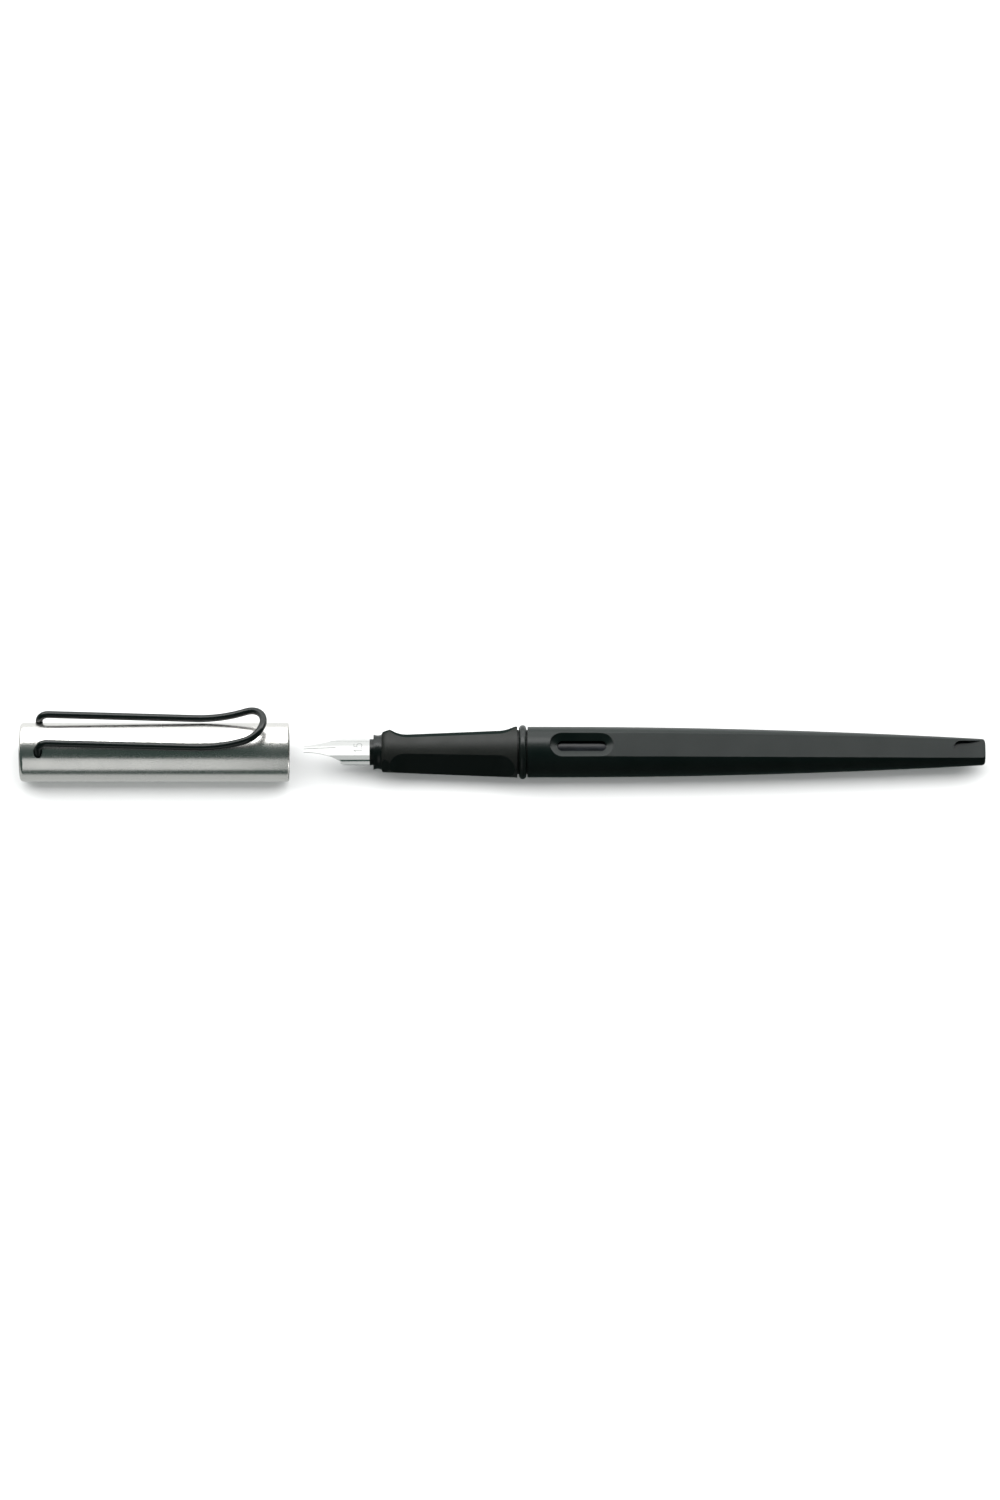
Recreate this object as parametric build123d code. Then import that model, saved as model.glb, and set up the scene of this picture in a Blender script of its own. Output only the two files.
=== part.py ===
"""Cartridge calligraphy fountain pen, uncapped, with its push-on cap lying in line in front of the nib.

Units are millimetres. +X runs along the pen towards the tail, +Z is the side that the nib's top faces.
The origin is on the pen's axis, at the middle of the barrel's plain round front stretch.
Stations along the pen are counted from the barrel's mouth, and stations along the cap from its mouth.
"""
from build123d import *
from math import cos, radians, sin, sqrt
import os

# ---------------------------------------------------------------- cartridge
cartridge_r = 3.6
cartridge_wall = 0.5
cartridge_neck_r = 2.6
cartridge_neck_length = 5.0
cartridge_body_length = 42.0
cartridge_tail_r = 2.9
cartridge_tail_length = 17.0
cartridge_reach = 17.0        # how far the cartridge's front lies inside the grip
cartridge_travel = 6.5        # slide off the nipple
socket_clearance = 0.2        # cartridge to grip
chamber_clearance = 0.4       # cartridge to barrel
tail_clearance = 0.2          # cartridge's tail to barrel
ball_r = 1.7
ball_rest = 18.0              # ball's centre beyond the neck

# ---------------------------------------------------------------- screw joint
tenon_wall = 0.55             # between the cartridge and the thread's root
thread_depth = 0.35
thread_pitch = 1.25
tenon_length = 4.9
thread_clearance = 0.08
bore_relief = 0.3             # bore beyond the tenon's end
seat_gap = 0.02               # between faces of different pieces that only touch
thread_r = cartridge_r + socket_clearance + tenon_wall + thread_depth

# ---------------------------------------------------------------- barrel
barrel_length = 106.4
plain_length = 5.0            # round stretch between the mouth and the flats
flat_wall = 0.36              # between the thread's bore and a flat
flat_depth = 0.76             # flat below the round surface at its front end
flat_setback = 0.14           # from the plain stretch to the rounded front end of a flat
flat_tail_height = 2.15       # axis to a flat at the tail
barrel_tail_r = 3.05
barrel_wall = 1.0             # between the flats and the narrow end of the bore
barrel_core_setback = 14.0    # end of the bore to the tail
bore_margin = 2.0             # bore beyond the cartridge when it has slid back
tail_corner_r = 0.8
flat_height = thread_r + thread_clearance + flat_wall
barrel_r = flat_height + flat_depth

# ink window in each flat
window_length = 14.9
window_bevel = 1.72           # width of the sloping rim, all round
window_bevel_depth = 0.95
window_slot_width = 2.46

# thumb scoop in each flat at the tail
scoop_length = 6.5
scoop_width = 3.9
scoop_depth = 0.75
scoop_land = 0.95             # between the scoop and the tail's end face

# ---------------------------------------------------------------- snap ring
ring_proud = 0.4              # ring above the barrel
ring_width = 1.72
ring_section = 1.4
ring_clearance = 0.05         # ring to its groove
ring_front = 2.0              # barrel mouth to the ring's front face
ring_r = barrel_r + ring_proud

# ---------------------------------------------------------------- nib
nib_r = 3.02
nib_wall = 0.32
nib_length = 15.3
nib_tip_width = 1.5
nib_wrap_angle = 108.0        # half angle that the wings reach round the feed
nib_bend_station = 8.5        # root to the bend
nib_tip_drop = 0.95
nib_bend_r = 15.0
nib_wing_length = 5.7
nib_slit_width = 0.1
nib_slit_length = 7.4
nib_travel = 6.0              # slide off the feed

# ---------------------------------------------------------------- feed and collar
feed_gap = 0.08               # nib to tongue
collar_ring_proud = 0.02      # collar's front ring above the nib
collar_ring_length = 0.9
collar_flange_step = 1.11     # flange above the front ring
collar_waist_depth = 0.25
collar_length = 1.9
feed_plug_r = 3.4
feed_plug_length = 7.9
feed_tongue_length = 9.8
feed_lip_length = 2.5         # sloping top of the tongue under the bent end of the nib
feed_lip_drop = 0.62
feed_nose_depth = 0.7
feed_under_length = 6.0       # sloping underside of the tongue
feed_tip_width = 1.0          # tongue's front end, seen from above
fin_count = 9
fin_pitch = 0.62
fin_slot = 0.28
fin_spine = 0.88              # height of the solid part above the fins' roots
fin_setback = 0.7
collar_ring_r = nib_r + collar_ring_proud
collar_flange_r = collar_ring_r + collar_flange_step

# ---------------------------------------------------------------- inner feed
feed_core_r = 1.1
feed_core_reach = 5.3         # how far the core reaches into the tongue
core_collar_r = 2.2
core_collar_length = 2.0
nipple_r = 1.5
nipple_length = 9.0
nipple_bore_r = 0.55
nipple_tip = 1.2
nipple_clearance = 0.05       # nipple to cartridge
web_length = 4.0              # wall of the grip between the feed and the ink chamber

# ---------------------------------------------------------------- grip section
grip_length = 31.5            # rear shoulder to front face
grip_step = 0.05              # rear shoulder above the barrel
grip_front_step = 0.55        # front edge above the collar's flange
grip_edge_r = 0.5
neck_length = 2.4             # stretch that carries the snap ring
neck_lip_depth = 0.75         # lips of the ring's groove below the barrel
flare_height = 0.65           # raised shoulder above the front edge
flare_setback = 1.9           # front face to the top of the shoulder
flare_run = 4.0               # top of the shoulder back to the cone
flare_angle = 70.0            # the shoulder is full up to this angle from the top
facet_angle = 64.0            # direction of each finger facet, from the top
facet_depth = 1.15            # cone's surface to facet
facet_front_ramp = 4.2
facet_rear_ramp = 3.8
facet_flare_depth = 0.15      # facet below the top of the shoulder
facet_nose_depth = 0.3        # facet below the grip's front edge
facet_rear_land = 0.5         # rear end of the facet to the rear shoulder
grip_rear_r = barrel_r + grip_step
grip_front_r = collar_flange_r + grip_front_step
flare_r = grip_front_r + flare_height

# ---------------------------------------------------------------- cap
cap_length = 62.5
cap_wall = 0.45
cap_ring_gap = 0.1            # cap to snap ring
cap_end_wall = 1.2
cap_corner_r = 0.9
cap_mouth_chamfer = 0.12
cap_gap = 3.5                 # nib's tip to the cap's mouth, as laid down
cap_roll = -24.0              # turn of the cap about X, which leans the clip towards +Y
cap_inner_r = ring_r + cap_ring_gap
cap_r = cap_inner_r + cap_wall

# inner cap
liner_setback = 2.4
liner_mouth_length = 3.6
liner_funnel_length = 14.0
liner_grip_gap = 0.15         # to the grip's rear shoulder
liner_bore_gap = 0.25         # to the grip's raised front shoulder
liner_throat_gap = 0.3        # to the collar
liner_nose_gap = 0.03         # to the nib
liner_nose_length = 3.8
liner_throat_setback = 0.4    # throat beyond the grip's front face
liner_nose_wall = 0.5
liner_end_wall = 0.8
liner_end_gap = 0.6           # nib's tip to the liner's end wall, with the nib pulled forward
liner_step = 0.6              # length of each sloping step in the bore
nose_r = nib_r + liner_nose_gap
nose_outer_r = nose_r + liner_nose_wall

# ---------------------------------------------------------------- clip
wire_r = 0.85
clip_span = 9.3               # between the centres of the two legs
clip_hole_inset = 4.5         # closed end of the cap to the holes
clip_leg_gap = 0.12           # wire to the cap's crown beside the bend
clip_low_gap = 0.22           # wire to the cap where it comes nearest
clip_low_station = 21.8       # nearest place, from the cap's mouth
clip_loop_rise = 2.2          # nearest place up to the start of the loop
clip_loop_setback = 10.0      # cap's mouth to the start of the loop
clip_bend_r = 2.1
clip_stub_depth = 2.7         # axis to the end of the wire inside the cap
clip_clearance = 0.2
anchor_length = 6.0

# ---------------------------------------------------------------- finial
finial_shank_length = 1.5
finial_head_r = 4.35
finial_sink = 0.15            # head below the cap's end
recess_arm = 5.0
recess_width = 1.1
recess_depth = 0.7

# ---------------------------------------------------------------- stations along X
mouth_x = -plain_length / 2
tail_x = mouth_x + barrel_length
grip_rear_x = mouth_x - neck_length
grip_front_x = grip_rear_x - grip_length
nib_root_x = grip_front_x - collar_length - collar_ring_length
nib_tip_x = nib_root_x - nib_length
cap_mouth_x = nib_tip_x - cap_gap
cap_end_x = cap_mouth_x - cap_length
anchor_back_x = cap_end_x + cap_end_wall
anchor_front_x = anchor_back_x + anchor_length
cartridge_front_x = mouth_x - cartridge_reach
cartridge_shoulder_x = cartridge_front_x + cartridge_neck_length + cartridge_body_length
cartridge_tail_x = cartridge_shoulder_x + cartridge_tail_length
far = 40.0


# ---------------------------------------------------------------- helpers
def turned(points):
    """Solid of revolution about X through points given as (x, radius)."""
    return revolve(make_face(Polyline(points, close=True)), Axis.X)


def rod(x_low, x_high, radius):
    """Cylinder along X."""
    return turned([(x_low, 0), (x_high, 0), (x_high, radius), (x_low, radius)])


def pipe(x_low, x_high, outer_r, inner_r):
    """Tube along X."""
    return turned([(x_low, inner_r), (x_high, inner_r), (x_high, outer_r), (x_low, outer_r)])


def side_prism(line, half_width=far):
    """Prism across the pen: a closed line drawn as (x, z), spread along Y both ways."""
    return extrude(Plane.XZ * make_face(line), half_width, both=True)


def plan_prism(sketch, z_low, z_high):
    """Prism along Z of a sketch drawn as (x, y)."""
    return extrude(Pos(0, 0, z_low) * sketch, z_high - z_low)


def both_sides(shape):
    """The shape on the pen's top and its copy on the underside."""
    return [shape, Rot(180, 0, 0) * shape]


# ---------------------------------------------------------------- barrel
def flat_height_at(x):
    """Height of a flat above the axis at x: the flat is one long arc that starts level."""
    run = barrel_length - plain_length
    drop = flat_height - flat_tail_height
    arc_r = (run**2 + drop**2) / (2 * drop)
    return flat_height - arc_r + sqrt(arc_r**2 - (x - mouth_x - plain_length) ** 2)


def flat_cutter():
    """What is cut away above a flat, with a half-round front end."""
    half_width = sqrt(barrel_r**2 - flat_height**2)
    front = mouth_x + plain_length + flat_setback
    arc = TangentArc((mouth_x + plain_length, flat_height), (tail_x, flat_tail_height), tangent=(1, 0))
    roof = Polyline((tail_x, flat_tail_height), (tail_x, far), (mouth_x + plain_length, far), arc @ 0)
    above = side_prism(arc + roof)
    nose = Pos(front + half_width, 0) * Circle(half_width)
    run = Pos(front + half_width + far * 2, 0) * Rectangle(far * 4, half_width * 2)
    return above & plan_prism(nose + run, 0, far)


def window_cutter():
    """Sloping rim and slot of the ink window in a flat."""
    centre = mouth_x + plain_length + flat_setback + window_length / 2
    rim = SlotOverall(window_length, window_slot_width + 2 * window_bevel)
    slot = SlotOverall(window_length - 2 * window_bevel, window_slot_width)
    slope = loft([Pos(centre, 0, flat_height) * rim, Pos(centre, 0, flat_height - window_bevel_depth) * slot])
    return slope + plan_prism(Pos(centre, 0) * slot, 0, flat_height)


def scoop_cutter():
    """Thumb scoop in a flat: half-round front end, floor rising to the tail."""
    end = tail_x - scoop_land
    front = end - scoop_length
    half_width = scoop_width / 2
    nose = Pos(front + half_width, 0) * Circle(half_width)
    run = Pos((front + half_width + end) / 2, 0) * Rectangle(end - front - half_width, scoop_width)
    low = flat_height_at((front + end) / 2) - scoop_depth
    floor = ThreePointArc((front, low + 0.1), ((front + end) / 2, low), (end, flat_height_at(end)))
    roof = Polyline((end, flat_height_at(end)), (end, far), (front, far), (front, low + 0.1))
    return side_prism(floor + roof) & plan_prism(nose + run, 0, far)


def make_barrel():
    bend = (mouth_x + plain_length, barrel_r)
    taper = TangentArc(bend, (tail_x, barrel_tail_r), tangent=(1, 0))
    outline = Line((mouth_x, 0), (mouth_x, barrel_r)) + Line((mouth_x, barrel_r), bend) + taper
    outline += Line((tail_x, barrel_tail_r), (tail_x, 0)) + Line((tail_x, 0), (mouth_x, 0))
    profile = make_face(outline)
    corner = profile.vertices().sort_by_distance((tail_x, barrel_tail_r))[0]
    shell = revolve(fillet(corner, tail_corner_r), Axis.X)
    for cutter in both_sides(flat_cutter()):
        shell -= cutter
    for cutter in both_sides(window_cutter()) + both_sides(scoop_cutter()):
        shell -= cutter
    return shell - barrel_bore()


def barrel_bore():
    """Stepped hole for the tenon and the cartridge, tapering towards the tail."""
    thread_end = mouth_x + tenon_length + bore_relief
    thread_bore_r = thread_r + thread_clearance
    body_bore_r = cartridge_r + chamber_clearance
    tail_bore_r = cartridge_tail_r + tail_clearance
    body_end = cartridge_shoulder_x + cartridge_travel + bore_margin
    tail_end = cartridge_tail_x + cartridge_travel + bore_margin
    taper_end = tail_x - barrel_core_setback
    end_r = flat_height_at(taper_end) - barrel_wall
    return turned(
        [
            (mouth_x - bore_relief, 0),
            (mouth_x - bore_relief, thread_bore_r),
            (thread_end, thread_bore_r),
            (thread_end, body_bore_r),
            (body_end, body_bore_r),
            (body_end + body_bore_r, tail_bore_r),
            (tail_end, tail_bore_r),
            (taper_end, end_r),
            (taper_end, 0),
        ]
    )


# ---------------------------------------------------------------- grip section
def grip_radius(x):
    """Radius of the grip's cone at x."""
    return grip_rear_r + (grip_front_r - grip_rear_r) * (grip_rear_x - x) / grip_length


def facet_cutter():
    """What is cut away outside one finger facet, drawn as if the facet were on the pen's top."""
    land_end = grip_rear_x - facet_rear_land
    rear = land_end - facet_rear_ramp
    top = grip_front_x + flare_setback
    front = top + facet_front_ramp
    slope = (grip_radius(rear) - grip_radius(front)) / (rear - front)
    low_front = (front, grip_radius(front) - facet_depth)
    low_rear = (rear, grip_radius(rear) - facet_depth)
    high_front = (top, flare_r - facet_flare_depth)
    high_rear = (land_end, grip_radius(land_end))
    ramp_front = TangentArc(low_front, high_front, tangent=(-1, -slope))
    ramp_rear = TangentArc(low_rear, high_rear, tangent=(1, slope))
    nose = (grip_front_x - seat_gap, grip_front_r - facet_nose_depth)
    roof = Polyline(high_rear, (high_rear[0], far), (nose[0], far), nose, high_front)
    return side_prism(ramp_front + Line(low_front, low_rear) + ramp_rear + roof)


def grip_flare():
    """Raised shoulder at the front, which fades out round the underside."""
    top = grip_front_x + flare_setback
    back = top + flare_run
    edge = (grip_front_x, grip_front_r - grip_edge_r)
    slope = (grip_rear_r - grip_front_r) / grip_length
    line = Polyline((back, grip_radius(back)), (back, 0), (grip_front_x, 0), edge)
    line += ThreePointArc(edge, (grip_front_x + flare_setback / 3, flare_r - grip_edge_r / 2), (top, flare_r))
    line += Spline((top, flare_r), (back, grip_radius(back)), tangents=[(1, 0), (1, slope)])
    full = revolve(make_face(line), Axis.X)
    lift = flare_height / (2 * cos(radians(flare_angle)))
    limit_r = flare_r - flare_height / 2
    return full & Pos(0, 0, lift) * rod(grip_front_x - far, back + far, limit_r)


def thread_ridge():
    """Helical ridge of the male thread, right-handed."""
    start = mouth_x + thread_pitch * 0.6
    length = tenon_length - thread_pitch * 1.2
    root_r = thread_r - thread_depth
    helix = Helix(thread_pitch, length, root_r, center=(start, 0, 0), direction=(1, 0, 0))
    root = thread_pitch * 0.32
    crest = thread_pitch * 0.1
    section = Polyline((-0.1, -root), (-0.1, root), (thread_depth, crest), (thread_depth, -crest), close=True)
    outward = (helix @ 0) - Vector(start, 0, 0)
    place = Plane(origin=helix @ 0, x_dir=outward, z_dir=helix % 0)
    return sweep(place * make_face(section), path=helix, is_frenet=True)


def make_grip():
    front_edge = (grip_front_x, grip_front_r - grip_edge_r)
    lip_r = barrel_r - neck_lip_depth
    groove_r = ring_r - ring_section - ring_clearance
    ring_low_x = mouth_x - ring_front - seat_gap
    ring_high_x = ring_low_x + ring_width + 2 * seat_gap
    tenon_x = mouth_x + tenon_length
    shell = turned(
        [
            (grip_front_x, 0),
            front_edge,
            (grip_front_x + grip_edge_r, grip_radius(grip_front_x + grip_edge_r)),
            (grip_rear_x, grip_rear_r),
            (grip_rear_x, lip_r),
            (ring_low_x, lip_r),
            (ring_low_x, groove_r),
            (ring_high_x, groove_r),
            (ring_high_x, lip_r),
            (mouth_x - seat_gap, lip_r),
            (mouth_x - seat_gap, thread_r - thread_depth),
            (tenon_x, thread_r - thread_depth),
            (tenon_x, 0),
        ]
    )
    shell += grip_flare()
    for side in (1, -1):
        shell -= Rot(side * facet_angle, 0, 0) * facet_cutter()
    shell += thread_ridge()
    plug_end = grip_front_x + feed_plug_length
    web_end = plug_end + web_length
    socket_x = cartridge_front_x + cartridge_neck_length - socket_clearance
    shell -= rod(grip_front_x - far, plug_end, feed_plug_r)
    shell -= rod(plug_end - seat_gap, web_end + seat_gap, feed_core_r)
    shell -= rod(web_end, socket_x + socket_clearance, cartridge_neck_r + socket_clearance)
    return shell - rod(socket_x - socket_clearance, tail_x, cartridge_r + socket_clearance)


def make_snap_ring():
    """Ring that the closed cap snaps over, round at its rim."""
    low = mouth_x - ring_front
    high = low + ring_width
    inner_r = ring_r - ring_section
    rim_r = ring_width / 2
    line = Line((low, ring_r - rim_r), (low, inner_r)) + Line((low, inner_r), (high, inner_r))
    line += Line((high, inner_r), (high, ring_r - rim_r))
    line += ThreePointArc((high, ring_r - rim_r), (low + rim_r, ring_r), (low, ring_r - rim_r))
    return revolve(make_face(line), Axis.X)


# ---------------------------------------------------------------- feed
def make_feed():
    flange_x = nib_root_x + collar_ring_length
    waist_x = flange_x + collar_length / 2
    plug_end = grip_front_x + feed_plug_length
    line = Polyline(
        (nib_root_x + seat_gap, 0),
        (nib_root_x + seat_gap, collar_ring_r),
        (flange_x, collar_ring_r),
        (flange_x, collar_flange_r),
    )
    line += ThreePointArc(
        (flange_x, collar_flange_r),
        (waist_x, collar_flange_r - collar_waist_depth),
        (grip_front_x, collar_flange_r),
    )
    line += Polyline(
        (grip_front_x, collar_flange_r),
        (grip_front_x, feed_plug_r),
        (plug_end, feed_plug_r),
        (plug_end, 0),
        (nib_root_x + seat_gap, 0),
    )
    feed = revolve(make_face(line), Axis.X) + feed_tongue()
    return feed - rod(nib_root_x - feed_core_reach, tail_x, feed_core_r)


def feed_tongue():
    """Tongue under the nib, sloped at its nose, with a comb of ink fins underneath."""
    tongue_r = nib_r - nib_wall - feed_gap
    nose_x = nib_root_x - feed_tongue_length
    side = Polyline(
        (nib_root_x + collar_ring_length, tongue_r),
        (nose_x + feed_lip_length, tongue_r),
        (nose_x, tongue_r - feed_lip_drop),
        (nose_x, tongue_r - feed_lip_drop - feed_nose_depth),
        (nose_x + feed_under_length, -tongue_r),
        (nib_root_x + collar_ring_length, -tongue_r),
        close=True,
    )
    taper_x = nib_root_x - nib_wing_length
    back_x = nib_root_x + collar_ring_length
    plan = Polyline(
        (nose_x, -feed_tip_width / 2),
        (nose_x, feed_tip_width / 2),
        (taper_x, tongue_r),
        (back_x, tongue_r),
        (back_x, -tongue_r),
        (taper_x, -tongue_r),
        close=True,
    )
    tongue = rod(nose_x, back_x, tongue_r) & side_prism(side) & plan_prism(make_face(plan), -far, far)
    for index in range(fin_count):
        x = nib_root_x - fin_setback - index * fin_pitch
        tongue -= Pos(x, 0, -tongue_r) * Box(fin_slot, 2 * far, 2 * (tongue_r - fin_spine))
    return tongue


def make_feed_core():
    """Inner feed: ink channel rod, its collar, and the nipple that opens the cartridge."""
    web_end = grip_front_x + feed_plug_length + web_length
    collar_end = web_end + core_collar_length
    tip = collar_end + nipple_length
    core = turned(
        [
            (nib_root_x - feed_core_reach, 0),
            (nib_root_x - feed_core_reach, feed_core_r),
            (web_end, feed_core_r),
            (web_end, core_collar_r),
            (collar_end, core_collar_r),
            (collar_end, nipple_r),
            (tip - nipple_tip, nipple_r),
            (tip, nipple_bore_r + nipple_tip / 3),
            (tip, 0),
        ]
    )
    return core - rod(web_end, tip + seat_gap, nipple_bore_r)


# ---------------------------------------------------------------- nib
def nib_outline():
    """Half of the nib's outline seen from above, mirrored, as (x, y)."""
    tip = nib_tip_width / 2
    wing_x = nib_root_x - nib_wing_length
    edge = Spline(
        (nib_tip_x, tip),
        (nib_tip_x + nib_length * 0.27, nib_r * 0.43),
        (nib_tip_x + nib_length * 0.45, nib_r * 0.68),
        (wing_x, nib_r * 1.02),
    )
    wing_corner = (wing_x, nib_r * 1.02)
    rest = Polyline(wing_corner, (nib_root_x, nib_r * 1.3), (nib_root_x, 0), (nib_tip_x, 0), edge @ 0)
    half = make_face(edge + rest)
    return half + mirror(half, Plane.XZ)


def make_nib():
    """Bent sheet: a part-round section swept along the nib, cut to outline, with its slit."""
    mid_z = nib_r - nib_wall / 2
    bend_x = nib_root_x - nib_bend_station
    reach = nib_tip_x - nib_wall
    path = FilletPolyline(
        (nib_root_x, 0, mid_z), (bend_x, 0, mid_z), (reach, 0, mid_z - nib_tip_drop), radius=nib_bend_r
    )
    wedge = [(0, 0)]
    for share in (-1, -0.5, 0, 0.5, 1):
        angle = radians(90 + share * nib_wrap_angle)
        wedge.append((far * cos(angle), far * sin(angle)))
    section = (Circle(nib_r) - Circle(nib_r - nib_wall)) & make_face(Polyline(wedge, close=True))
    plane = Plane(origin=(nib_root_x, 0, 0), x_dir=(0, 1, 0), z_dir=(-1, 0, 0))
    sheet = sweep(plane * (Rot(0, 0, 180) * section), path=path)
    nib = sheet & plan_prism(nib_outline(), -far, far)
    slit_end = nib_tip_x + nib_slit_length
    slit = Box(slit_end - nib_tip_x + far, nib_slit_width, far)
    return nib - Pos((nib_tip_x - far + slit_end) / 2, 0, 0) * slit


# ---------------------------------------------------------------- cartridge
def cartridge_profile(inset):
    """Outline of the cartridge's body and tail, drawn in by inset."""
    corner = cartridge_wall
    return [
        (cartridge_front_x + cartridge_neck_length + inset, 0),
        (cartridge_front_x + cartridge_neck_length + inset, cartridge_r - corner - inset),
        (cartridge_front_x + cartridge_neck_length + corner + inset, cartridge_r - inset),
        (cartridge_shoulder_x - inset, cartridge_r - inset),
        (cartridge_shoulder_x + corner - inset, cartridge_tail_r - inset),
        (cartridge_tail_x - corner - inset, cartridge_tail_r - inset),
        (cartridge_tail_x - inset, cartridge_tail_r - corner - inset),
        (cartridge_tail_x - inset, 0),
    ]


def make_cartridge():
    neck_end = cartridge_front_x + cartridge_neck_length + cartridge_wall
    bottle = turned(cartridge_profile(0)) + rod(cartridge_front_x, neck_end, cartridge_neck_r)
    bottle -= turned(cartridge_profile(cartridge_wall))
    return bottle - rod(cartridge_front_x - seat_gap, neck_end + cartridge_wall, nipple_r + nipple_clearance)


def make_cartridge_ball():
    """Seal ball, pushed off the neck by the nipple and lying on the cartridge's wall."""
    x = cartridge_front_x + cartridge_neck_length + ball_rest
    return Pos(x, 0, -(cartridge_r - cartridge_wall - ball_r)) * Sphere(ball_r)


# ---------------------------------------------------------------- cap
def cap_x(station):
    """Place along X of a station counted from the cap's mouth towards its closed end."""
    return cap_mouth_x - station


def rolled(shape):
    """The cap group's turn about the pen's axis."""
    return Rot(cap_roll, 0, 0) * shape


def stub_holes(radius, bottom):
    """Two holes for the ends of the clip's wire."""
    cutter = Pos(cap_end_x + clip_hole_inset, clip_span / 2, bottom + far / 2) * Cylinder(radius, far)
    return cutter + mirror(cutter, Plane.XZ)


def make_cap_sleeve():
    body = rod(cap_end_x, cap_mouth_x, cap_r)
    end_edge = body.edges().sort_by(Axis.X)[0]
    body = fillet(end_edge, cap_corner_r)
    body -= rod(cap_end_x + cap_end_wall, cap_mouth_x + seat_gap, cap_inner_r)
    body -= rod(cap_end_x - seat_gap, cap_end_x + far / 2, finial_head_r)
    mouth_edges = body.edges().filter_by(GeomType.CIRCLE).sort_by(Axis.X)[-2:]
    body = chamfer(mouth_edges, cap_mouth_chamfer)
    return rolled(body - stub_holes(wire_r + clip_clearance, 0))


def make_cap_liner():
    """Inner cap: funnel for the grip, throat for the collar and a narrow nose for the nib."""
    closed = cap_mouth_x - mouth_x
    mouth = cap_x(liner_setback)
    funnel = mouth - liner_mouth_length
    bore = funnel - liner_funnel_length
    throat = grip_front_x + closed - liner_throat_setback
    end = nib_tip_x + closed - nib_travel - liner_end_gap
    nose = end + liner_nose_length
    mouth_r = grip_rear_r + liner_grip_gap
    bore_r = flare_r + liner_bore_gap
    throat_r = collar_flange_r + liner_throat_gap
    return rolled(
        turned(
            [
                (mouth, cap_inner_r),
                (mouth, mouth_r),
                (funnel, mouth_r),
                (bore, bore_r),
                (throat, bore_r),
                (throat - liner_step, throat_r),
                (nose, throat_r),
                (nose - liner_step, nose_r),
                (end, nose_r),
                (end, 0),
                (end - liner_end_wall, 0),
                (end - liner_end_wall, nose_outer_r),
                (anchor_front_x, nose_outer_r),
                (anchor_front_x, cap_inner_r),
            ]
        )
    )


def make_clip_anchor():
    """Plug between the liner and the cap's end that holds the two ends of the clip."""
    block = pipe(anchor_back_x, anchor_front_x, cap_inner_r, nose_outer_r)
    return rolled(block - stub_holes(wire_r + clip_clearance, clip_stub_depth - clip_clearance))


def make_finial():
    """End plug with a cross recess."""
    shank_end = anchor_back_x + finial_shank_length
    plug = rod(anchor_back_x, shank_end, nose_outer_r)
    plug += rod(cap_end_x + finial_sink, anchor_back_x, finial_head_r)
    arm = Pos(cap_end_x + finial_sink, 0, 0) * Box(2 * recess_depth, recess_arm, recess_width)
    for turn in (0, 90):
        plug -= Rot(turn, 0, 0) * arm
    return rolled(plug)


def make_clip():
    """One bent wire: two stubs, two long legs that curl up at the end, and a round loop that joins them."""
    half = clip_span / 2
    hole_x = cap_end_x + clip_hole_inset
    loop_x = cap_x(clip_loop_setback)
    leg_z = cap_r + wire_r + clip_leg_gap
    low_z = sqrt((cap_r + wire_r + clip_low_gap) ** 2 - half**2)
    leg = FilletPolyline(
        (hole_x, half, clip_stub_depth),
        (hole_x, half, leg_z),
        (cap_x(clip_low_station), half, low_z),
        radius=clip_bend_r,
    )
    curl = TangentArc(leg @ 1, (loop_x, half, low_z + clip_loop_rise), tangent=leg % 1)
    tip = (curl @ 1) + (curl % 1) * half
    loop = ThreePointArc(curl @ 1, (tip.X, 0, tip.Z), mirror(curl, Plane.XZ) @ 1)
    side = leg.edges() + curl.edges()
    wire = Plane(origin=leg @ 0, z_dir=(0, 0, 1)) * Circle(wire_r)
    other_side = mirror(leg, Plane.XZ).edges() + mirror(curl, Plane.XZ).edges()
    return rolled(sweep(wire, path=Wire(side + loop.edges() + other_side)))


# ---------------------------------------------------------------- output
parts = {
    "barrel": make_barrel,
    "grip_section": make_grip,
    "snap_ring": make_snap_ring,
    "feed": make_feed,
    "feed_core": make_feed_core,
    "nib": make_nib,
    "cartridge": make_cartridge,
    "cartridge_ball": make_cartridge_ball,
    "cap_sleeve": make_cap_sleeve,
    "cap_liner": make_cap_liner,
    "clip_anchor": make_clip_anchor,
    "cap_finial": make_finial,
    "cap_clip": make_clip,
}

os.makedirs("parts", exist_ok=True)
for name, make in parts.items():
    export_step(make(), f"parts/{name}.step")
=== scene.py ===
"""Looks for the uncapped calligraphy pen and its cap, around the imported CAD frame. Metres throughout."""
import math

import bpy
from mathutils import Matrix, Vector


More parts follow.
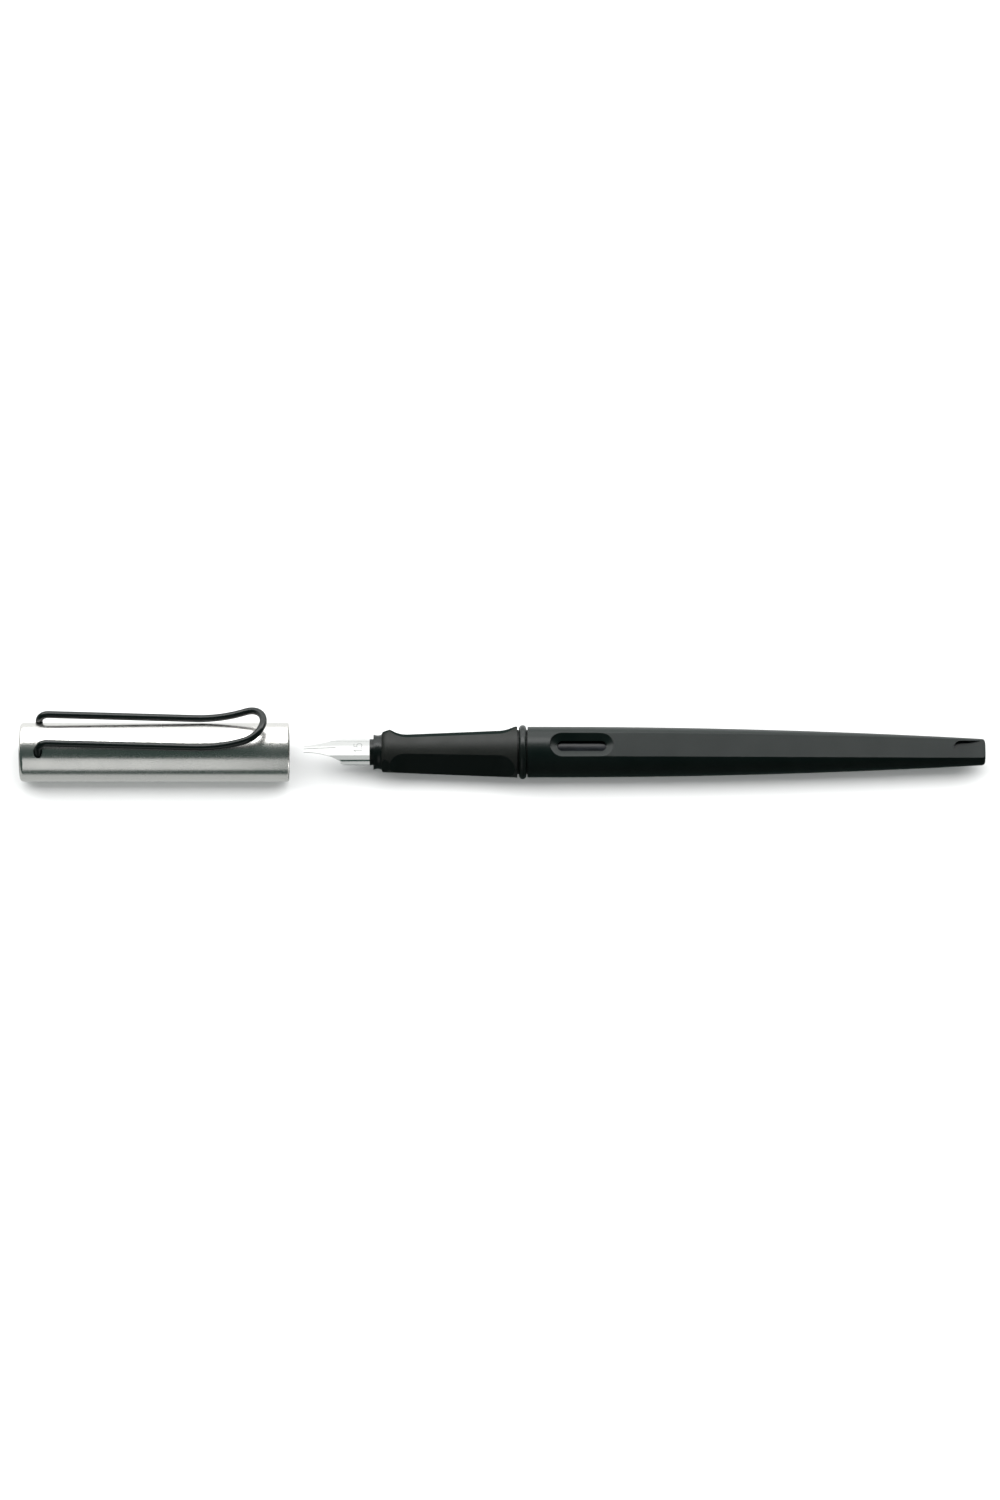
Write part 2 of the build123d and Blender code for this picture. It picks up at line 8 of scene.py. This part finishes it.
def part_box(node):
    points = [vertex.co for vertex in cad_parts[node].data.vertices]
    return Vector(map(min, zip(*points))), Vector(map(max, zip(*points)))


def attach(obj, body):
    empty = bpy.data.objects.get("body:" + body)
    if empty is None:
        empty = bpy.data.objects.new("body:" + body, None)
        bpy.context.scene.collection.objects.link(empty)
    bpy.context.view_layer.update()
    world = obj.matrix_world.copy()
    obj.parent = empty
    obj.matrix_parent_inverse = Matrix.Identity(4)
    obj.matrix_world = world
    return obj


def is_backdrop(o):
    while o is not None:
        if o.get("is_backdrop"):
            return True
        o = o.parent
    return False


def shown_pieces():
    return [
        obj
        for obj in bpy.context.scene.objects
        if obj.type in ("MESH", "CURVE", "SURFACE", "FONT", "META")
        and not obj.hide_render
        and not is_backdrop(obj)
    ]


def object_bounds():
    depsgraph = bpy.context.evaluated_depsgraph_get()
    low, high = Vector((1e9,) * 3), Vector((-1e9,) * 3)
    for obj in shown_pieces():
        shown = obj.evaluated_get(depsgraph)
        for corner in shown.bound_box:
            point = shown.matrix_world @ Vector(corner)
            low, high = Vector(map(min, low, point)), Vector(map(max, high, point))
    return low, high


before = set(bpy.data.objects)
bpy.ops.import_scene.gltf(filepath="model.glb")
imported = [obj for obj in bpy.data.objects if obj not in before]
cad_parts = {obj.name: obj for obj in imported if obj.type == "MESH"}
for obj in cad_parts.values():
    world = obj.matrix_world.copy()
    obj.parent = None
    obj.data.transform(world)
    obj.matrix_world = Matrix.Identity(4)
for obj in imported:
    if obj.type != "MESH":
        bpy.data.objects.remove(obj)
CAD_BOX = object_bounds()
MM = 0.001

# ---------------------------------------------------------------- camera settings
VIEW_ELEVATION = math.radians(70)
IMAGE_W = 1000
IMAGE_H = 1500
MODEL_SHARE = 0.965          # share of the picture's width that the model takes
LENS = 200.0
SENSOR = 36.0
TARGET_SHIFT = (-0.6 * MM, 0.48 * MM)   # where the camera looks, from the model's middle and the pen's axis

# ---------------------------------------------------------------- light settings
# Panels are placed by angle round the pen's axis: 0 is level behind it, 90 overhead and 180 level in front.
SOFTBOX_DISTANCE = 1.0
SOFTBOX_LENGTH = 2.6
TOP_SOFTBOX = {"radiance": 6.5, "arc": (44, 66.5)}
BACK_SOFTBOX = {"radiance": 2.6, "arc": (2, 44)}
FLOOR_WASH = {"radiance": 4.2, "arc": (50, 98)}
CARD_DISTANCE = 0.25
FLOOR_FILL = {"radiance": 0.8, "arc": (100, 160)}
CAP_CARD = {"radiance": 0.84, "arc": (137, 184)}
CAP_CARD_ENDS = (34 * MM, -4 * MM)      # beyond the cap's closed end and its mouth
NIB_BACK = {"radiance": 0.95, "arc": (2, 52)}
NIB_CARD = {"radiance": 1.25, "arc": (52, 138)}
NIB_FILL = {"radiance": 0.55, "arc": (138, 181)}
BOUNCE_BACK = {"radiance": 1.0, "reach": (4 * MM, 900 * MM)}
BOUNCE_FRONT = {"radiance": 0.5, "reach": (-24 * MM, -4 * MM)}
ROOM_COLOR = (0.043, 0.066, 0.059)
FLOOR_COLOR = (0.8, 0.8, 0.8)
FLOOR_SIZE = 12.0

# ---------------------------------------------------------------- sizes from the model
FACET_ANGLE = math.radians(64)
NIB_R = 3.02 * MM
NUMERAL_X = -41.9 * MM       # middle of the nib's width numeral
NUMERAL_HEIGHT = 1.84 * MM
NUMERAL_STROKE = 0.15 * MM
NUMERAL_RISE = 0.006 * MM    # above the nib
NUMERAL_SINK = 0.02 * MM     # into the nib
NUMERAL_STEP = 0.08          # longest run of a stroke, in numeral heights
MITRE_LIMIT = 0.4            # least cosine that a stroke's corner is widened by


# ---------------------------------------------------------------- material nodes
class Look:
    """A material's node tree around one Principled shader. Textures are measured in millimetres."""

    def __init__(self, name, **sockets):
        self.material = bpy.data.materials.new(name)
        self.material.use_nodes = True
        self.tree = self.material.node_tree
        self.shader = self.tree.nodes["Principled BSDF"]
        for socket, value in sockets.items():
            self.shader.inputs[socket.replace("_", " ")].default_value = value
        place = self.node("ShaderNodeTexCoord")
        self.scale = self.node("ShaderNodeVectorMath", operation="SCALE")
        self.scale.inputs["Scale"].default_value = 1 / MM
        self.link(place.outputs["Object"], self.scale.inputs[0])
        self.place = place
        self.point = self.scale.outputs[0]

    def node(self, kind, **settings):
        made = self.tree.nodes.new(kind)
        for name, value in settings.items():
            setattr(made, name, value)
        return made

    def link(self, output, socket):
        self.tree.links.new(output, socket)

    def noise(self, scale, detail=3.0, roughness=0.55, stretch=(1, 1, 1)):
        """Noise with about scale features in a millimetre, drawn out along an axis by a small stretch."""
        mapping = self.node("ShaderNodeMapping")
        mapping.inputs["Scale"].default_value = stretch
        self.link(self.point, mapping.inputs["Vector"])
        made = self.node("ShaderNodeTexNoise")
        made.inputs["Scale"].default_value = scale
        made.inputs["Detail"].default_value = detail
        made.inputs["Roughness"].default_value = roughness
        self.link(mapping.outputs["Vector"], made.inputs["Vector"])
        return made.outputs["Fac"]

    def spread(self, value, low, high, new_low=0.0, new_high=1.0):
        made = self.node("ShaderNodeMapRange")
        limits = {"From Min": low, "From Max": high, "To Min": new_low, "To Max": new_high}
        for name, number in limits.items():
            made.inputs[name].default_value = number
        self.link(value, made.inputs["Value"])
        return made.outputs["Result"]

    def maths(self, operation, a, b=None):
        made = self.node("ShaderNodeMath", operation=operation)
        for socket, value in zip(made.inputs, (a, b)):
            if isinstance(value, bpy.types.NodeSocket):
                self.link(value, socket)
            elif value is not None:
                socket.default_value = value
        return made.outputs[0]

    def mix(self, share, a, b):
        """Colour between a and b, each a colour or a socket."""
        made = self.node("ShaderNodeMix", data_type="RGBA")
        self.link(share, made.inputs["Factor"])
        for index, value in ((6, a), (7, b)):
            if isinstance(value, bpy.types.NodeSocket):
                self.link(value, made.inputs[index])
            else:
                made.inputs[index].default_value = (*value, 1)
        return made.outputs[2]

    def color(self, output):
        self.link(output, self.shader.inputs["Base Color"])

    def roughness(self, output):
        self.link(output, self.shader.inputs["Roughness"])

    def bump(self, height, depth, under=None):
        """Bump of height's full range by depth metres."""
        made = self.node("ShaderNodeBump")
        made.inputs["Strength"].default_value = 1.0
        made.inputs["Distance"].default_value = depth
        self.link(height, made.inputs["Height"])
        if under:
            self.link(under, made.inputs["Normal"])
        self.link(made.outputs["Normal"], self.shader.inputs["Normal"])
        return made.outputs["Normal"]


def moulded(name, dark, light, roughness, grain=5.0, depth=0.004 * MM, ior=1.35, **sockets):
    """Moulded plastic: fine spark-eroded grain, cloudy gloss and hair scratches along the pen."""
    look = Look(name, IOR=ior, **sockets)
    cloud = look.noise(0.18, 2.0)
    fine = look.noise(grain, 4.0, 0.7)
    scratch = look.noise(2.2, 5.0, 0.75, (0.04, 1, 1))
    look.color(look.mix(look.spread(look.maths("ADD", cloud, fine), 0.75, 1.25), dark, light))
    gloss = look.maths("ADD", look.maths("MULTIPLY", cloud, 0.5), look.maths("MULTIPLY", scratch, 0.5))
    look.roughness(look.spread(gloss, 0.3, 0.7, roughness * 0.86, roughness * 1.14))
    look.bump(fine, depth, look.bump(scratch, depth * 0.25))
    return look


def barrel_look():
    dark, light = (0.0022, 0.0060, 0.0051), (0.0042, 0.0085, 0.0074)
    return moulded("barrel_satin", dark, light, 0.34, ior=1.36).material


def grip_look():
    """Coarse eroded texture on the grip's body, finer on its two finger facets."""
    look = Look("grip_texture", IOR=1.36)
    normal = look.node("ShaderNodeSeparateXYZ")
    look.link(look.place.outputs["Normal"], normal.inputs[0])
    side = look.maths("ABSOLUTE", normal.outputs[1])
    round_part = look.maths("SQRT", look.maths("SUBTRACT", 1.0, look.maths("POWER", normal.outputs[0], 2.0)))
    across = look.maths("MULTIPLY", side, math.sin(FACET_ANGLE))
    up = look.maths("MULTIPLY", normal.outputs[2], math.cos(FACET_ANGLE))
    facing = look.maths("DIVIDE", look.maths("ADD", across, up), round_part)
    facet = look.spread(facing, 0.9985, 0.9993)
    coarse = look.noise(6.0, 5.0, 0.8)
    cloud = look.noise(0.25, 2.0)
    body = look.mix(look.spread(coarse, 0.35, 0.65), (0.0045, 0.0075, 0.0066), (0.019, 0.019, 0.0165))
    look.color(look.mix(facet, body, (0.0028, 0.0062, 0.0053)))
    rough = look.spread(look.maths("ADD", coarse, cloud), 0.7, 1.3, 0.46, 0.6)
    mixed = look.node("ShaderNodeMix", data_type="FLOAT")
    look.link(facet, mixed.inputs[0])
    look.link(rough, mixed.inputs[2])
    mixed.inputs[3].default_value = 0.36
    look.roughness(mixed.outputs[0])
    look.bump(look.maths("MULTIPLY", coarse, look.spread(facet, 0, 1, 1.0, 0.25)), 0.02 * MM)
    return look.material


def rubber_look():
    dark, light = (0.004, 0.007, 0.006), (0.007, 0.010, 0.009)
    return moulded("snap_satin", dark, light, 0.3, grain=7.0, ior=1.38).material


def feed_look():
    dark, light = (0.003, 0.0055, 0.005), (0.005, 0.0075, 0.007)
    return moulded("feed_satin", dark, light, 0.3, grain=7.0, ior=1.37).material


def steel_look():
    """Rolled and polished steel sheet: faint rolling lines along the nib."""
    look = Look("nib_polished", Metallic=1.0, Anisotropic=0.3)
    line = look.noise(9.0, 4.0, 0.7, (0.03, 1, 1))
    cloud = look.noise(0.6, 2.0)
    look.color(look.mix(look.spread(line, 0.3, 0.7), (0.80, 0.80, 0.785), (0.90, 0.90, 0.89)))
    look.roughness(look.spread(look.maths("ADD", line, cloud), 0.7, 1.3, 0.09, 0.17))
    look.bump(line, 0.0006 * MM)
    return look.material


def aluminium_look():
    """Anodised aluminium with a fine brushed and blasted surface."""
    look = Look("cap_brushed", Metallic=1.0, Anisotropic=0.25)
    brush = look.noise(7.0, 5.0, 0.75, (0.05, 1, 1))
    grain = look.noise(9.0, 3.0, 0.8)
    cloud = look.noise(0.12, 2.0)
    tone = look.maths("ADD", look.maths("MULTIPLY", brush, 0.6), look.maths("MULTIPLY", grain, 0.4))
    look.color(look.mix(look.spread(tone, 0.3, 0.7), (0.69, 0.675, 0.65), (0.80, 0.785, 0.765)))
    look.roughness(look.spread(look.maths("ADD", tone, cloud), 0.7, 1.3, 0.22, 0.30))
    look.bump(grain, 0.0035 * MM, look.bump(brush, 0.002 * MM))
    return look.material


def wire_look():
    """Gloss black lacquer on spring wire, with a little orange peel."""
    look = Look("clip_lacquer", IOR=1.40)
    peel = look.noise(1.6, 2.0)
    fine = look.noise(8.0, 3.0)
    look.color(look.mix(look.spread(fine, 0.35, 0.65), (0.002, 0.0048, 0.0042), (0.0038, 0.007, 0.0062)))
    look.roughness(look.spread(look.maths("ADD", peel, fine), 0.7, 1.3, 0.2, 0.28))
    look.bump(peel, 0.004 * MM)
    return look.material


def liner_look():
    dark, light = (0.018, 0.02, 0.02), (0.03, 0.032, 0.032)
    return moulded("liner_satin", dark, light, 0.45, grain=6.0, ior=1.4).material


def finial_look():
    dark, light = (0.003, 0.005, 0.0045), (0.005, 0.0072, 0.0066)
    return moulded("finial_gloss", dark, light, 0.18, grain=6.0, depth=0.002 * MM, ior=1.42).material


def cartridge_look():
    """Dark ink behind a thin glossy wall, paler where the ink film is thin."""
    look = Look("cartridge_ink", IOR=1.33)
    film = look.noise(0.5, 3.0, 0.6, (0.4, 1, 1))
    look.color(look.mix(look.spread(film, 0.35, 0.65), (0.003, 0.0035, 0.005), (0.009, 0.011, 0.015)))
    look.roughness(look.spread(film, 0.3, 0.7, 0.3, 0.38))
    look.bump(film, 0.01 * MM)
    return look.material


def numeral_look():
    """Etched steel, matt and a little darker than the polished sheet."""
    look = Look("nib_etched", Metallic=1.0)
    etch = look.noise(14.0, 4.0, 0.7)
    look.color(look.mix(look.spread(etch, 0.3, 0.7), (0.40, 0.41, 0.40), (0.52, 0.52, 0.51)))
    look.roughness(look.spread(etch, 0.3, 0.7, 0.38, 0.5))
    look.bump(etch, 0.001 * MM)
    return look.material


LOOKS = {
    "barrel": barrel_look,
    "grip_section": grip_look,
    "snap_ring": rubber_look,
    "feed": feed_look,
    "feed_core": feed_look,
    "nib": steel_look,
    "cap_sleeve": aluminium_look,
    "cap_clip": wire_look,
    "cap_liner": liner_look,
    "clip_anchor": liner_look,
    "cap_finial": finial_look,
    "cartridge": cartridge_look,
    "cartridge_ball": cartridge_look,
}


def dress_nodes():
    made = {}
    for node, look in LOOKS.items():
        if look not in made:
            made[look] = look()
        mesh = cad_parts[node].data
        mesh.materials.clear()
        mesh.materials.append(made[look])


# ---------------------------------------------------------------- the nib's width, as a numeral
def arc_points(middle, radius, start, end, steps):
    turns = [math.radians(start + (end - start) * i / steps) for i in range(steps + 1)]
    return [(middle[0] + radius * math.cos(a), middle[1] + radius * math.sin(a)) for a in turns]


def numeral_strokes():
    """Strokes of "1.5" as points (right, up) in units of the numeral's height, about its middle."""
    one = [(-0.53, 0.28), (-0.36, 0.5), (-0.36, -0.5)]
    point = [(-0.13, -0.5), (-0.13, -0.4)]
    bowl = arc_points((0.28, -0.18), 0.32, 125, -140, 24)
    five = [(0.56, 0.5), (0.14, 0.5), (0.1, 0.082)] + bowl
    return one, point, five


def stroke_ribbon(points, half):
    """Left and right edges of a stroke with mitred corners."""
    left, right = [], []
    points = [Vector(p) for p in points]
    for i, here in enumerate(points):
        before = (here - points[i - 1]).normalized() if i else None
        after = (points[i + 1] - here).normalized() if i < len(points) - 1 else None
        along = ((before or after) + (after or before)).normalized()
        across = Vector((-along.y, along.x))
        run = after or before
        run_across = Vector((-run.y, run.x))
        reach = half / max(across.dot(run_across), MITRE_LIMIT)
        left.append(here + across * reach)
        right.append(here - across * reach)
    return left, right


def divided(points, longest):
    """The same line with no run longer than longest, so that it can follow the nib's curve."""
    made = [points[0]]
    for start, end in zip(points, points[1:]):
        steps = max(1, math.ceil(math.dist(start, end) / longest))
        made += [tuple(s + (e - s) * i / steps for s, e in zip(start, end)) for i in range(1, steps + 1)]
    return made


def make_numeral():
    """Thin raised strokes that follow the nib's crown, reading towards +Y with their tops towards the tip."""
    verts, faces = [], []
    for stroke in numeral_strokes():
        left, right = stroke_ribbon(divided(stroke, NUMERAL_STEP), NUMERAL_STROKE / NUMERAL_HEIGHT / 2)
        first = len(verts)
        for pair in zip(left, right):
            for radius in (NIB_R + NUMERAL_RISE, NIB_R - NUMERAL_SINK):
                for point in pair:
                    turn = point[0] * NUMERAL_HEIGHT / NIB_R
                    x = NUMERAL_X - point[1] * NUMERAL_HEIGHT
                    verts.append((x, radius * math.sin(turn), radius * math.cos(turn)))
        last = first + 4 * (len(left) - 1)
        for a in range(first, last, 4):
            for i, j in ((0, 1), (1, 3), (3, 2), (2, 0)):
                faces.append((a + i, a + j, a + 4 + j, a + 4 + i))
        faces.append((first, first + 2, first + 3, first + 1))
        faces.append((last, last + 1, last + 3, last + 2))
    mesh = bpy.data.meshes.new("nib_width_numeral")
    mesh.from_pydata(verts, [], faces)
    mesh.materials.append(numeral_look())
    numeral = bpy.data.objects.new("nib_width_numeral", mesh)
    bpy.context.scene.collection.objects.link(numeral)
    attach(numeral, "nib")
    return numeral


# ---------------------------------------------------------------- stage
def floor_look():
    look = Look("floor_paper", Roughness=0.9, IOR=1.2)
    fibre = look.noise(0.05, 4.0)
    pale = tuple(c * 1.02 for c in FLOOR_COLOR)
    look.color(look.mix(look.spread(fibre, 0.3, 0.7), FLOOR_COLOR, pale))
    return look.material


def make_floor():
    half = FLOOR_SIZE / 2
    z = CAD_BOX[0][2]
    mesh = bpy.data.meshes.new("floor")
    corners = [(-half, -half, z), (half, -half, z), (half, half, z), (-half, half, z)]
    mesh.from_pydata(corners, [], [(0, 1, 2, 3)])
    mesh.materials.append(floor_look())
    floor = bpy.data.objects.new("floor", mesh)
    bpy.context.scene.collection.objects.link(floor)
    floor.visible_glossy = False      # the bounce panels stand for it in reflections
    floor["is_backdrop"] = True
    return floor


def make_panel(name, radiance, edges, ends, lit):
    """Soft panel facing the pen's axis, between two edges given as (y, z). It lights only some objects."""
    first, second = (Vector((0, *edge)) for edge in edges)
    middle = (first + second) / 2
    data = bpy.data.lights.new(name, "AREA")
    data.shape = "RECTANGLE"
    data.size = ends[1] - ends[0]
    data.size_y = (second - first).length
    data.energy = radiance * math.pi * data.size * data.size_y
    panel = bpy.data.objects.new(name, data)
    bpy.context.scene.collection.objects.link(panel)
    along = Vector((1, 0, 0))
    rise = (second - first).normalized()
    back = along.cross(rise)
    if back.dot(middle) < 0:
        rise, back = -rise, -back
    turn = Matrix((along, rise, back)).transposed().to_4x4()
    panel.matrix_world = Matrix.Translation((sum(ends) / 2, middle.y, middle.z)) @ turn
    panel.visible_camera = False
    panel.light_linking.receiver_collection = lit


def arc_edges(arc, distance):
    """Two edges at angles round the pen's axis."""
    return [(distance * math.cos(math.radians(a)), distance * math.sin(math.radians(a))) for a in arc]


def group_of(name, objects):
    group = bpy.data.collections.new(name)
    for one in objects:
        group.objects.link(one)
    return group


def make_lights(floor, numeral):
    """The floor, the nib and the rest have their own panels, so that each can be set by itself."""
    half = SOFTBOX_LENGTH / 2
    ends = (-half, half)
    steel = [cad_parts["nib"], numeral]
    dark = [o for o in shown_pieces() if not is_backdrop(o) and o not in steel]
    rear = [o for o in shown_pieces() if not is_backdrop(o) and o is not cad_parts["grip_section"]]
    front = [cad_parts[n] for n in ("cap_sleeve", "cap_clip", "cap_finial")] + steel
    body = group_of("lit_body", dark)
    nib = group_of("lit_nib", steel)
    ground = group_of("lit_floor", [floor])
    low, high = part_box("cap_sleeve")
    cap_ends = (low[0] - CAP_CARD_ENDS[0], high[0] + CAP_CARD_ENDS[1])
    low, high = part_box("nib")
    nib_ends = (low[0] - CARD_DISTANCE, high[0] + CARD_DISTANCE)
    for name, light, distance, reach, lit in (
        ("top_softbox", TOP_SOFTBOX, SOFTBOX_DISTANCE, ends, body),
        ("back_softbox", BACK_SOFTBOX, SOFTBOX_DISTANCE, ends, body),
        ("floor_wash", FLOOR_WASH, SOFTBOX_DISTANCE, ends, ground),
        ("floor_fill", FLOOR_FILL, SOFTBOX_DISTANCE, ends, ground),
        ("cap_card", CAP_CARD, CARD_DISTANCE, cap_ends, body),
        ("nib_back", NIB_BACK, CARD_DISTANCE, nib_ends, nib),
        ("nib_card", NIB_CARD, CARD_DISTANCE, nib_ends, nib),
        ("nib_fill", NIB_FILL, CARD_DISTANCE, nib_ends, nib),
    ):
        make_panel(name, light["radiance"], arc_edges(light["arc"], distance), reach, lit)
    ground_z = CAD_BOX[0][2]
    for name, light, lit in (
        ("bounce_back", BOUNCE_BACK, group_of("lit_rear", rear)),
        ("bounce_front", BOUNCE_FRONT, group_of("lit_front", front)),
    ):
        make_panel(name, light["radiance"], [(y, ground_z) for y in light["reach"]], ends, lit)
    world = bpy.data.worlds.new("room")
    world.use_nodes = True
    world.node_tree.nodes["Background"].inputs["Color"].default_value = (*ROOM_COLOR, 1)
    bpy.context.scene.world = world


def make_camera():
    low, high = (Vector(v) for v in CAD_BOX)
    width = (high.x - low.x) / MODEL_SHARE
    height = width * IMAGE_H / IMAGE_W
    distance = height * LENS / SENSOR
    away = Vector((0, -math.cos(VIEW_ELEVATION), math.sin(VIEW_ELEVATION)))
    up = Vector((0, math.sin(VIEW_ELEVATION), math.cos(VIEW_ELEVATION)))
    middle = Vector(((low.x + high.x) / 2, 0, 0))
    target = middle + Vector((TARGET_SHIFT[0], 0, 0)) + up * TARGET_SHIFT[1]
    data = bpy.data.cameras.new("camera")
    data.lens = LENS
    data.sensor_fit = "VERTICAL"
    data.sensor_width = SENSOR
    data.sensor_height = SENSOR
    data.clip_end = distance * 20
    camera = bpy.data.objects.new("camera", data)
    bpy.context.scene.collection.objects.link(camera)
    camera.location = target + away * distance
    camera.rotation_euler = (math.pi / 2 - VIEW_ELEVATION, 0, 0)
    bpy.context.scene.camera = camera


make_camera()
dress_nodes()
make_lights(make_floor(), make_numeral())
bpy.context.scene.view_settings.view_transform = "Standard"
